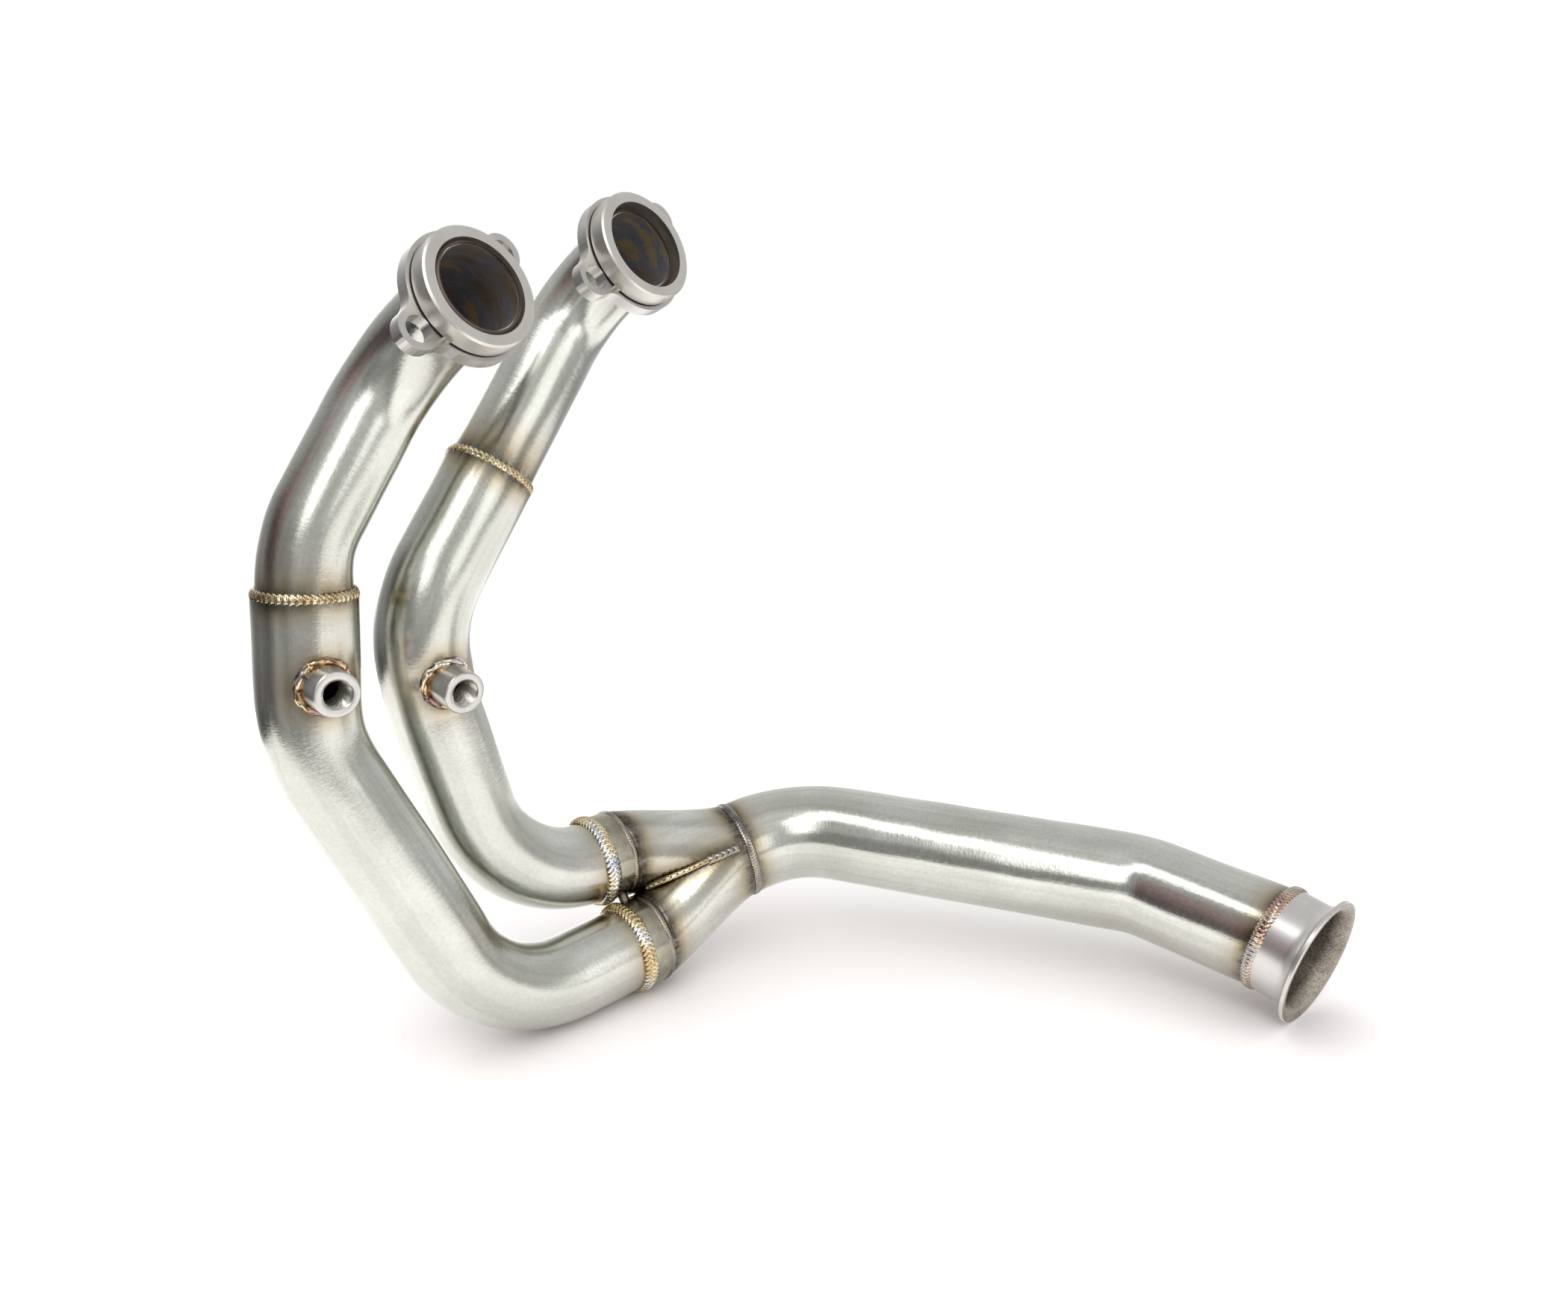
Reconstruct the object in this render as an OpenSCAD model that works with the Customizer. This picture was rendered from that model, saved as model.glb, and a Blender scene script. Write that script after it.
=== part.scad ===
// Two-into-one exhaust pipe that replaces the catalyst section of a twin.
// Two header pipes run from the cylinder ports down to a two-leg collector,
// and one link pipe runs from there to a flared outlet ferrule.
//
// The frame is the one the pipe rests in on the floor: X along the link pipe
// towards the outlet, Y away from the viewer, Z up.
//
// Every pipe is a bend table, as on a tube bender: each row is a straight
// length, a roll about the pipe, a bend angle and a bend radius. The tables
// run away from the collector, so each free end follows its own table.

/* [Pipe sizes] */
// Outside diameter of the upper half of each header
upper_od = 38; // [31.5:0.5:38.5]
// Outside diameter of the lower half of each header
lower_od = 42; // [41.5:0.5:46]
// Outside diameter of the link pipe
link_od = 50; // [46:0.5:60]
// Wall of every pipe
wall = 1.5; // [1:0.1:1.8]
// Bend radius of most header bends
header_bend_r = 60; // [55:1:70]
// Bend radius of the long bend of the left header
long_bend_r = 80; // [70:1:95]
// Bend radius just under the right port
tight_bend_r = 50; // [45:1:60]
// Bend radius of the first bend of the link pipe
link_bend_r = 65; // [60:1:80]

/* [Left header] */
// Straight at the collector
left_straight_1 = 45.5; // [30:0.5:70]
// Long straight of the lower pipe
left_straight_2 = 92; // [70:0.5:120]
// Straight that holds the joint of the two pipes
left_straight_3 = 48.5; // [40:0.5:70]
// Straight before the last bend
left_straight_4 = 40; // [20:0.5:60]
// Straight inside the port flange
left_straight_5 = 19; // [17:0.5:40]

/* [Right header] */
// Straight at the collector
right_straight_1 = 14; // [14:0.5:40]
// Straight above the first bend
right_straight_2 = 47.5; // [30:0.5:70]
// Short straight between the middle bends, with the sensor boss
right_straight_3 = 11; // [8:0.5:30]
// Long straight that holds the joint of the two pipes
right_straight_4 = 117; // [80:0.5:140]
// Straight inside the port flange
right_straight_5 = 10; // [9:0.5:30]
// Joint of the two pipes, from the start of straight 4
right_joint_at = 48; // [20:0.5:90]

/* [Link pipe] */
// Straight at the collector
link_straight_1 = 7; // [4:0.5:20]
// Long straight along the floor
link_straight_2 = 144; // [100:0.5:200]
// Straight up to the ferrule weld
link_straight_3 = 59.5; // [30:0.5:90]
// Length of the ferrule, from its weld to the mouth
ferrule_len = 20.5; // [15:0.5:30]
// Angle between the pipe and the ferrule, which meet in a mitre
ferrule_tilt = 8.4; // [0:0.1:10]
// Outside diameter of the flared mouth
mouth_od = 62.5; // [58:0.5:76]

/* [Collector] */
// Length of the collector along its axis
cone_len = 60.5; // [50:0.5:80]
// Distance between the centres of the two inlets
inlet_gap = 46.5; // [46:0.5:60]
// Lean of both legs out of the collector axis
leg_drop = 16.5; // [0:0.5:20]
// Turn of each leg away from the other
leg_toe = 1.5; // [0:0.5:8]
// Length of the inlet sleeve on each header
sleeve_len = 11; // [6:0.5:11]
// Radial thickness of the inlet sleeve
sleeve_t = 1.2; // [0.8:0.1:1.6]

/* [Ports] */
// Outside diameter of the port collar
collar_od = 50; // [46:0.5:54]
// Height of the port collar
collar_h = 8.5; // [6:0.5:9]
// Depth of the left pipe end under the collar face
left_recess = 1.5; // [1:0.5:4]
// Depth of the right pipe end under the collar face
right_recess = 5.5; // [1:0.5:6]
// Thickness of the port flange
flange_t = 6; // [4:0.5:8]
// Gap between collar and flange, bridged by two tacks
groove = 0.8; // [0.4:0.1:2]
// Distance between the two stud holes of a flange
stud_gap = 61; // [60:0.5:80]
// Distance of the line through both stud holes from the pipe axis
stud_offset = 3.3; // [0:0.1:5]
// Diameter of a stud hole
stud_hole = 11; // [8:0.5:11]

/* [Sensor bosses] */
// Outside diameter of a sensor boss
boss_od = 19; // [17:0.5:21]
// Height of a sensor boss over the pipe
boss_h = 15; // [8:0.5:18]
// Minor diameter of the M12 thread, 1.25 pitch
boss_hole = 10.8; // [10:0.1:12]

/* [Hidden] */
$fn = 96;

// Lengths of one pipe overlap by lap, and a bend is a hair thinner
lap = 1;
hair = 0.05;
// How far the upper pipe slips into the lower one
slip = 15;
bead_w = 3;

// Where the collector outlet sits, and how it is turned
outlet_at = [-79.6, 66.4, 54.65];
outlet_turn = [43.8, 79.6, -29.4];

// Bend tables: straight, roll, bend, bend radius
left_route = [
    [left_straight_1, 156.5, 71.5, header_bend_r],
    [left_straight_2, -20, 29, long_bend_r],
    [left_straight_3, 15.5, 28.5, header_bend_r],
    [left_straight_4, -91, 64, header_bend_r],
    [left_straight_5, 0, 0, header_bend_r]
];
right_route = [
    [right_straight_1, 153, 79, header_bend_r],
    [right_straight_2, -74, 12.5, header_bend_r],
    [right_straight_3, 83.5, 46, header_bend_r],
    [right_straight_4, -106, 68, tight_bend_r],
    [right_straight_5, 0, 0, header_bend_r]
];
link_route = [
    [link_straight_1, -43, 46.5, link_bend_r],
    [link_straight_2, -13.5, 24.5, tight_bend_r],
    [link_straight_3, 0, 0, header_bend_r]
];

// Row, distance along its straight and direction of each sensor boss
left_boss = [2, 8, 286.5];
right_boss = [2, right_straight_3 - 1, 345.5];
left_joint_at = left_straight_3 - 6.5;
left_flange_turn = -22;
right_flange_turn = -22;
ferrule_turn = 46.5;

sleeve_r = lower_od / 2 + sleeve_t;

// Frames as 4 x 4 matrices
function shift(v) = [[1, 0, 0, v[0]], [0, 1, 0, v[1]], [0, 0, 1, v[2]], [0, 0, 0, 1]];
function roll(a) = [[cos(a), -sin(a), 0, 0], [sin(a), cos(a), 0, 0], [0, 0, 1, 0], [0, 0, 0, 1]];
function tilt(a) = [[cos(a), 0, sin(a), 0], [0, 1, 0, 0], [-sin(a), 0, cos(a), 0], [0, 0, 0, 1]];
function lean(a) = [[1, 0, 0, 0], [0, cos(a), -sin(a), 0], [0, sin(a), cos(a), 0], [0, 0, 0, 1]];
function after_straight(m, row) = m * shift([0, 0, row[0]]);
function after_bend(m, row) =
    after_straight(m, row) * roll(row[1]) * shift([row[3], 0, 0]) * tilt(row[2]) * shift([-row[3], 0, 0]);
function frames(rows, i = 0, m = roll(0)) =
    i >= len(rows) ? [m] : concat([m], frames(rows, i + 1, after_bend(m, rows[i])));

// The collector frame has Z downstream, out of the outlet, and X from the
// right inlet to the left one. The leg frames have Z upstream.
collector_frame = shift(outlet_at) * roll(outlet_turn[0]) * tilt(outlet_turn[1]) * roll(outlet_turn[2]);
function leg_place(side) = shift([side * inlet_gap / 2, 0, -cone_len]) * tilt(-side * leg_toe) * lean(180 - leg_drop);
left_leg = collector_frame * leg_place(1);
right_leg = collector_frame * leg_place(-1);

function row_frame(leg, route, i) = leg * frames(route)[i];
function end_frame(leg, route) = row_frame(leg, route, len(route) - 1) * shift([0, 0, route[len(route) - 1][0]]);
function boss_frame(leg, route, at) = row_frame(leg, route, at[0]) * shift([0, 0, at[1]]) * roll(at[2]) * tilt(90);
left_collar_frame = end_frame(left_leg, left_route) * shift([0, 0, -collar_h]);
right_collar_frame = end_frame(right_leg, right_route) * shift([0, 0, -collar_h]);

// A solid rod that follows a route from one row to another
module rod(route, first, last, from, to, d) {
    m = frames(route);
    for (i = [first : last]) {
        a = i == first ? from : -lap;
        b = i == last ? to : route[i][0] + lap;
        multmatrix(m[i]) translate([0, 0, a]) cylinder(d = d, h = b - a);
        if (i < last)
            multmatrix(after_straight(m[i], route[i]) * roll(route[i][1])) translate([route[i][3], 0, 0])
                rotate([90, 0, 180]) rotate_extrude(angle = route[i][2])
                    translate([route[i][3], 0]) circle(d = d - 2 * hair);
    }
}

module pipe(route, first, last, from, to, d) {
    difference() {
        rod(route, first, last, from, to, d);
        rod(route, first, last, from - 1, to + 1, d - 2 * wall);
    }
}

// A weld bead around a pipe: from radius a at z0 to radius b at z1, swollen by h
module bead(inner, a, b, z0, z1, h) {
    n = 8;
    side = [for (i = [0 : n]) [a + (b - a) * i / n + h * sin(180 * i / n), z0 + (z1 - z0) * (1 - cos(180 * i / n)) / 2]];
    rotate_extrude() polygon(concat([[inner, z0]], side, [[inner, z1]]));
}

// Port end

module port_collar(recess) {
    c = 0.8;
    difference() {
        rotate_extrude() polygon([
            [upper_od / 2, 0], [collar_od / 2, 0], [collar_od / 2, collar_h - c],
            [collar_od / 2 - c, collar_h], [upper_od / 2, collar_h]
        ]);
        translate([0, 0, collar_h - recess]) cylinder(d = upper_od + 2, h = recess + 1);
    }
}

// Points on an arc, without its last one
function arc(c, r, a0, a1, n) = [for (i = [0 : n - 1]) let (a = a0 + (a1 - a0) * i / n) c + r * [cos(a), sin(a)]];

// Plate outline: a disc and two ears beside it, joined by hollow flanks. One
// half is drawn, from the foot of the disc round the ear to its top.
module flange_outline() {
    body_r = collar_od / 2 + 2;
    ear_r = stud_hole / 2 + 3;
    flank_r = 9;
    ear = [stud_gap / 2, -stud_offset];
    turn = atan2(ear[1], ear[0]);
    far = body_r + flank_r;
    near = ear_r + flank_r;
    u = (far * far - near * near + ear * ear) / (2 * norm(ear));
    v = sqrt(far * far - u * u);
    p = atan2(v, u);
    q = atan2(v, u - norm(ear));
    half = concat(
        arc([0, 0], body_r, -90, turn - p, 12),
        arc(far * [cos(turn - p), sin(turn - p)], flank_r, turn - p + 180, turn - q + 180, 7),
        arc(ear, ear_r, turn - q, turn + q, 17),
        arc(far * [cos(turn + p), sin(turn + p)], flank_r, turn + q + 180, turn + p + 180, 7),
        arc([0, 0], body_r, turn + p, 90, 12),
        [[0, body_r]]);
    polygon(concat(half, [for (i = [len(half) - 2 : -1 : 1]) [-half[i][0], half[i][1]]]));
}

module port_flange() {
    translate([0, 0, -groove - flange_t]) difference() {
        linear_extrude(height = flange_t) flange_outline();
        translate([0, 0, -1]) cylinder(d = upper_od + 2, h = flange_t + 2);
        for (s = [-1, 1]) translate([s * stud_gap / 2, -stud_offset, -1]) cylinder(d = stud_hole, h = flange_t + 2);
    }
}

// A tack on the flange face, against the side of the collar
module flange_tack(a) {
    difference() {
        rotate([0, 0, a]) translate([collar_od / 2, 0, -groove]) cylinder(r = 1.8, h = groove + 1.6);
        cylinder(d = collar_od, h = collar_h);
    }
}

// Fillet on the pipe end, inside the collar
module collar_weld(recess) {
    translate([0, 0, collar_h - recess]) bead(upper_od / 2 - 1, upper_od / 2 + 1, upper_od / 2 - 1, 0, 1.2, 0);
}

// Sensor boss, with Z along its axis and the pipe's axis at z = 0
module sensor_boss() {
    c = 0.8;
    top = lower_od / 2 + boss_h;
    difference() {
        rotate_extrude() polygon([[0, 8], [boss_od / 2, 8], [boss_od / 2, top - c], [boss_od / 2 - c, top], [0, top]]);
        translate([0, 0, 7]) cylinder(d = boss_hole, h = top);
    }
}

// Places a child in one frame and takes the routed pipe away from it
module on_pipe(leg, route, at) {
    difference() {
        multmatrix(boss_frame(leg, route, at)) children();
        multmatrix(leg) rod(route, at[0] - 1, at[0] + 1, route[at[0] - 1][0] - 12, 20, lower_od);
    }
}

// Bead around the foot of a boss: a skin on the pipe, cut to a ring
module boss_weld(leg, route, at) {
    w = 2.4;
    t = 1.8;
    difference() {
        intersection() {
            multmatrix(leg) rod(route, at[0] - 1, at[0] + 1, route[at[0] - 1][0] - 12, 20, lower_od + 2 * t);
            multmatrix(boss_frame(leg, route, at)) cylinder(d = boss_od + 2 * w, h = lower_od);
        }
        multmatrix(leg) rod(route, at[0] - 1, at[0] + 1, route[at[0] - 1][0] - 14, 22, lower_od);
        multmatrix(boss_frame(leg, route, at)) cylinder(d = boss_od, h = lower_od + 1);
    }
}

module lower_pipe(leg, route, last, joint, boss) {
    difference() {
        multmatrix(leg) pipe(route, 0, last, 1, joint, lower_od);
        multmatrix(boss_frame(leg, route, boss)) cylinder(d = boss_hole + 1, h = lower_od);
    }
}

module upper_pipe(leg, route, first, joint, recess) {
    n = len(route) - 1;
    multmatrix(leg) pipe(route, first, n, joint - slip, route[n][0] - recess, upper_od);
}

module joint_weld(leg, route, row, joint) {
    multmatrix(row_frame(leg, route, row) * shift([0, 0, joint]))
        bead(upper_od / 2, lower_od / 2, upper_od / 2 + 0.2, 0, bead_w, 0.8);
}

// Collector

module inlet_sleeve() {
    difference() {
        cylinder(r = sleeve_r, h = sleeve_len);
        translate([0, 0, -1]) cylinder(d = lower_od - 2 * wall, h = sleeve_len + 2);
        translate([0, 0, 1]) cylinder(d = lower_od, h = sleeve_len);
    }
}

module sleeve_weld() {
    translate([0, 0, sleeve_len]) bead(lower_od / 2, sleeve_r, lower_od / 2 + 0.2, 0, bead_w, 1.4);
}

module leg_seam() {
    bead(sleeve_r, sleeve_r, sleeve_r, 0, 2, 0.6);
}

// Blend of one inlet disc and the shared outlet disc
module leg_blend(side, inset) {
    hull($fn = 40) {
        multmatrix(leg_place(side)) translate([0, 0, -1 - inset]) cylinder(r = sleeve_r - inset, h = 1 + 2 * inset);
        translate([0, 0, -1.5]) cylinder(r = link_od / 2 - inset, h = 1.5 + inset);
    }
}

module collector_leg(side) {
    intersection() {
        difference() {
            leg_blend(side, 0, $fn = 40);
            leg_blend(side, wall, $fn = 40);
        }
        translate([side > 0 ? 0 : -100, -100, -120]) cube([100, 200, 240]);
    }
}

// Valley between the two legs, on one face of the collector
function valley_y(t) = let (r = link_od / 2 - (link_od / 2 - sleeve_r) * t, x = inlet_gap / 2 * t) sqrt(max(0, r * r - x * x));
module crotch_weld(up) {
    at = [0.84, 0.66, 0.48, 0.3];
    lift = [for (t = at) up * valley_y(t) + tan(leg_drop) * 6 * t * (1 - t)];
    difference() {
        for (i = [0 : len(at) - 2]) hull() {
            translate([0, lift[i], -cone_len * at[i]]) sphere(r = 3, $fn = 16);
            translate([0, lift[i + 1], -cone_len * at[i + 1]]) sphere(r = 3, $fn = 16);
        }
        leg_blend(1, 0, $fn = 40);
        leg_blend(-1, 0, $fn = 40);
    }
}

// Short rod of weld between the two inlet sleeves
module bridge_tack() color("tan") {
    difference() {
        multmatrix(collector_frame * shift([0, 0, -cone_len])) translate([0, -4, -5]) rotate([0, 90, 0])
            cylinder(r = 2.5, h = 12, center = true);
        for (leg = [left_leg, right_leg]) multmatrix(leg) cylinder(r = sleeve_r, h = sleeve_len);
    }
}

module collector_outlet_weld() color("tan") {
    multmatrix(collector_frame) bead(link_od / 2, link_od / 2, link_od / 2, 0, bead_w, 1);
}

// Link pipe and outlet

ferrule_frame = collector_frame * frames(link_route)[2] * shift([0, 0, link_straight_3])
    * roll(ferrule_turn) * tilt(ferrule_tilt) * roll(-ferrule_turn);
link_end = link_straight_3 + link_od / 2 * tan(ferrule_tilt) + 1;

module link_pipe() color("silver") {
    difference() {
        multmatrix(collector_frame) pipe(link_route, 0, 2, 0, link_end, link_od);
        multmatrix(ferrule_frame) cylinder(d = 2 * link_od, h = ferrule_len);
    }
}

module ferrule_weld() color("tan") {
    difference() {
        multmatrix(ferrule_frame) bead(link_od / 2 - 1.5, link_od / 2, link_od / 2 + 0.6, -bead_w, 0, 0.9);
        multmatrix(collector_frame) rod(link_route, 2, 2, 10, link_end, link_od);
    }
}

// Band with a trumpet flare at the mouth
module outlet_ferrule() color("darkgray") {
    t = 1.6;
    band = 9;
    r = link_od / 2 + 0.6;
    grow = mouth_od / 2 - r;
    n = 10;
    flare = [for (i = [0 : n]) [r + grow * (1 - cos(90 * i / n)), band + (ferrule_len - band) * i / n]];
    inner = [for (i = [n : -1 : 0]) [flare[i][0] - t, flare[i][1]]];
    multmatrix(ferrule_frame) rotate_extrude() polygon(concat([[r - t, 0], [r, 0]], flare, inner));
}

// Every piece in its place

module left_port_collar() color("gainsboro") multmatrix(left_collar_frame) port_collar(left_recess);
module right_port_collar() color("gainsboro") multmatrix(right_collar_frame) port_collar(right_recess);
module left_port_flange() color("lightgray") multmatrix(left_collar_frame * roll(left_flange_turn)) port_flange();
module right_port_flange() color("lightgray") multmatrix(right_collar_frame * roll(right_flange_turn)) port_flange();
module left_flange_tack_1() color("tan") multmatrix(left_collar_frame * roll(left_flange_turn)) flange_tack(14);
module left_flange_tack_2() color("tan") multmatrix(left_collar_frame * roll(left_flange_turn)) flange_tack(194);
module right_flange_tack_1() color("tan") multmatrix(right_collar_frame * roll(right_flange_turn)) flange_tack(14);
module right_flange_tack_2() color("tan") multmatrix(right_collar_frame * roll(right_flange_turn)) flange_tack(194);
module left_collar_weld() color("tan") multmatrix(left_collar_frame) collar_weld(left_recess);
module right_collar_weld() color("tan") multmatrix(right_collar_frame) collar_weld(right_recess);
module left_upper_pipe() color("silver") upper_pipe(left_leg, left_route, 2, left_joint_at, left_recess);
module right_upper_pipe() color("silver") upper_pipe(right_leg, right_route, 3, right_joint_at, right_recess);
module left_joint_weld() color("tan") joint_weld(left_leg, left_route, 2, left_joint_at);
module right_joint_weld() color("tan") joint_weld(right_leg, right_route, 3, right_joint_at);
module left_lower_pipe() color("silver") lower_pipe(left_leg, left_route, 2, left_joint_at, left_boss);
module right_lower_pipe() color("silver") lower_pipe(right_leg, right_route, 3, right_joint_at, right_boss);
module left_sensor_boss() color("gainsboro") on_pipe(left_leg, left_route, left_boss) sensor_boss();
module right_sensor_boss() color("gainsboro") on_pipe(right_leg, right_route, right_boss) sensor_boss();
module left_boss_weld() color("tan") boss_weld(left_leg, left_route, left_boss);
module right_boss_weld() color("tan") boss_weld(right_leg, right_route, right_boss);
module left_inlet_sleeve() color("silver") multmatrix(left_leg) inlet_sleeve();
module right_inlet_sleeve() color("silver") multmatrix(right_leg) inlet_sleeve();
module left_sleeve_weld() color("tan") multmatrix(left_leg) sleeve_weld();
module right_sleeve_weld() color("tan") multmatrix(right_leg) sleeve_weld();
module left_leg_seam() color("tan") multmatrix(left_leg) leg_seam();
module right_leg_seam() color("tan") multmatrix(right_leg) leg_seam();
module left_collector_leg() color("silver") multmatrix(collector_frame) collector_leg(1);
module right_collector_leg() color("silver") multmatrix(collector_frame) collector_leg(-1);
module crotch_weld_top() color("tan") multmatrix(collector_frame) crotch_weld(-1);
module crotch_weld_bottom() color("tan") multmatrix(collector_frame) crotch_weld(1);

left_port_collar();
right_port_collar();
left_port_flange();
right_port_flange();
left_flange_tack_1();
left_flange_tack_2();
right_flange_tack_1();
right_flange_tack_2();
left_collar_weld();
right_collar_weld();
left_upper_pipe();
right_upper_pipe();
left_joint_weld();
right_joint_weld();
left_lower_pipe();
right_lower_pipe();
left_sensor_boss();
right_sensor_boss();
left_boss_weld();
right_boss_weld();
left_inlet_sleeve();
right_inlet_sleeve();
left_sleeve_weld();
right_sleeve_weld();
left_leg_seam();
right_leg_seam();
left_collector_leg();
right_collector_leg();
bridge_tack();
crotch_weld_top();
crotch_weld_bottom();
collector_outlet_weld();
link_pipe();
ferrule_weld();
outlet_ferrule();
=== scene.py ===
import math

import bmesh
import bpy
import numpy as np
from mathutils import Matrix, Vector, noise


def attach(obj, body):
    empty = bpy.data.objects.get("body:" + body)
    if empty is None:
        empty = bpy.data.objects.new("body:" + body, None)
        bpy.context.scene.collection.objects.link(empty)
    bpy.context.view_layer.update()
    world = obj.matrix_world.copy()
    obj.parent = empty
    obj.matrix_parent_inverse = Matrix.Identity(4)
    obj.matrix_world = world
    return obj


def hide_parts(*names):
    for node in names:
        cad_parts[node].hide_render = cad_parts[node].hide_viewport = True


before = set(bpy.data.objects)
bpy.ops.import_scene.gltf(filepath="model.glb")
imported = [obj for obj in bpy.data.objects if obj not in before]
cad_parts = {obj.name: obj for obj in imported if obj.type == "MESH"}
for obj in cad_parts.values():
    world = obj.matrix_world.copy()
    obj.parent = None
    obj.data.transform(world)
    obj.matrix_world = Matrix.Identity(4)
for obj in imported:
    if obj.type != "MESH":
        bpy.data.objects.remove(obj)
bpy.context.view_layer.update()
scene = bpy.context.scene
scene.view_settings.view_transform = "Standard"

# ---- Camera ----
# A phone on the near side of a photo table, about 60 cm away and a little
# above the pipe, rolled a few degrees. The pose was fitted to the outlines.
camera = bpy.data.objects.new("camera", bpy.data.cameras.new("camera"))
camera.data.lens = 27.43
camera.data.sensor_width = 36
camera.data.clip_start = 0.01
right = Vector((0.9522, 0.3014, -0.0489))
look = Vector((-0.3041, 0.9215, -0.2417))
right.normalize()
look = (look - look.dot(right) * right).normalized()
up = right.cross(look)
camera.matrix_world = Matrix((
    (right.x, up.x, -look.x, 0.13709),
    (right.y, up.y, -look.y, -0.48967),
    (right.z, up.z, -look.z, 0.31162),
    (0, 0, 0, 1),
))
scene.collection.objects.link(camera)
scene.camera = camera


# ---- Table and light ----
# A white sheet in a plain white studio. A wide soft box hangs above and behind
# the camera, with smaller ones at both sides; the camera's corner is darker.
class Value:
    """One socket of a node tree, so that a pattern can be written as a sum."""

    def __init__(self, tree, socket=None):
        self.tree = tree
        self.socket = socket

    def node(self, kind, settings, inputs, output=0):
        made = self.tree.nodes.new(kind)
        for name, setting in settings.items():
            if name == "stops":
                ramp = made.color_ramp
                while len(ramp.elements) < len(setting):
                    ramp.elements.new(0.5)
                for element, (at, colour) in zip(ramp.elements, setting):
                    element.position = at
                    element.color = colour
            else:
                setattr(made, name, setting)
        for key, given in inputs.items():
            if isinstance(given, Value):
                self.tree.links.new(given.socket, made.inputs[key])
            else:
                made.inputs[key].default_value = given
        return Value(self.tree, made.outputs[output])

    def math(self, operation, *values):
        return self.node("ShaderNodeMath", {"operation": operation}, dict(enumerate(values)))

    def __add__(self, other):
        return self.math("ADD", self, other)

    def __radd__(self, other):
        return self.math("ADD", other, self)

    def __sub__(self, other):
        return self.math("SUBTRACT", self, other)

    def __rsub__(self, other):
        return self.math("SUBTRACT", other, self)

    def __mul__(self, other):
        return self.math("MULTIPLY", self, other)

    def __rmul__(self, other):
        return self.math("MULTIPLY", other, self)

    def __truediv__(self, other):
        return self.math("DIVIDE", self, other)

    def __pow__(self, other):
        return self.math("POWER", self, other)

    def rise(self, low, high):
        """0 below low, 1 above high, smooth between them"""
        return self.node(
            "ShaderNodeMapRange", {"interpolation_type": "SMOOTHSTEP"},
            {0: self, 1: low, 2: high, 3: 0.0, 4: 1.0})

    def scaled(self, factors):
        """each part of this vector times its own factor"""
        return self.node("ShaderNodeVectorMath", {"operation": "MULTIPLY"}, {0: self, 1: factors})

    def times(self, amount):
        """this whole vector times one number"""
        return self.node("ShaderNodeVectorMath", {"operation": "SCALE"}, {0: self, 3: amount})

    def towards(self, way):
        """how far this vector points along another one"""
        return self.node(
            "ShaderNodeVectorMath", {"operation": "DOT_PRODUCT"}, {0: self, 1: way}, "Value")

    def length(self):
        return self.node("ShaderNodeVectorMath", {"operation": "LENGTH"}, {0: self}, "Value")

    def z(self):
        return self.node("ShaderNodeSeparateXYZ", {}, {0: self}, 2)

    def grain(self, scale, detail=2.0, rough=0.5):
        """noise over this vector, 0 to 1"""
        return self.node(
            "ShaderNodeTexNoise", {},
            {"Vector": self, "Scale": scale, "Detail": detail, "Roughness": rough})

    def ramp(self, stops):
        return self.node("ShaderNodeValToRGB", {"stops": stops}, {0: self})

    def mixed(self, first, second):
        """first where this is 0, second where this is 1"""
        return self.node("ShaderNodeMix", {"data_type": "RGBA"}, {0: self, 6: first, 7: second}, 2)


def new_material(name):
    material = bpy.data.materials.new(name)
    material.use_nodes = True
    return material, Value(material.node_tree), material.node_tree.nodes["Principled BSDF"]


def feed(shader, sockets):
    for name, given in sockets.items():
        if isinstance(given, Value):
            given.tree.links.new(given.socket, shader.inputs[name])
        else:
            shader.inputs[name].default_value = given


floor_mesh = bpy.data.meshes.new("table_sheet")
floor_mesh.from_pydata(
    [(-0.70, -0.5, 0), (1.0, -0.5, 0), (1.0, 0.60, 0), (-0.70, 0.60, 0)], [], [(0, 1, 2, 3)])
floor = bpy.data.objects.new("table_sheet", floor_mesh)
scene.collection.objects.link(floor)
paper, v, shader = new_material("white_sheet")
away = v.node("ShaderNodeTexCoord", {}, {}, "Object").length()
seen = v.node("ShaderNodeLightPath", {}, {}, "Is Camera Ray")
glossy = v.node("ShaderNodeLightPath", {}, {}, "Is Glossy Ray")
# the sheet glows for the camera and in the steel, and ambient occlusion dims that glow near the
# pipe: a painted contact shadow
painted_shadow_dimmer = v.node("ShaderNodeAmbientOcclusion", {"samples": 8}, {"Distance": 0.16}, "AO") ** 2.0
shown = seen * (away.rise(0.25, 0.8) * 0.3 + 0.4)
mirrored = glossy * 0.75
feed(shader, {
    "Base Color": (0.90, 0.87, 0.865, 1), "Roughness": 0.9, "Emission Strength": 1.0,
    "Emission Color": ((shown + mirrored) * painted_shadow_dimmer).mixed((0, 0, 0, 1), (1, 1, 1, 1)),
})
floor_mesh.materials.append(paper)

world = bpy.data.worlds.new("studio")
world.use_nodes = True
scene.world = world
v = Value(world.node_tree)
direction = v.node("ShaderNodeTexCoord", {}, {}, "Generated")
seen = v.node("ShaderNodeLightPath", {}, {}, "Is Camera Ray")
room = 0.73
# parts of the room that are darker or lighter: the way they lie, the cosines
# at their edge and core, and what they add
for way, edge, core, change in (
    ((-0.92, -0.35, -0.05), 0.62, 0.92, -0.38),
    ((-0.64, -0.64, 0.42), 0.80, 0.95, -0.24),
    ((-0.12, -0.98, 0.12), 0.92, 0.985, -0.34),
    ((0.50, -0.29, 0.82), 0.80, 0.97, 0.25),
    ((0.0, 0.95, 0.3), 0.60, 0.95, 0.15),
    ((0.0, 0.0, -1.0), -0.05, 0.40, -0.35),
):
    room = direction.towards(way).rise(edge, core) * change + room
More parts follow.
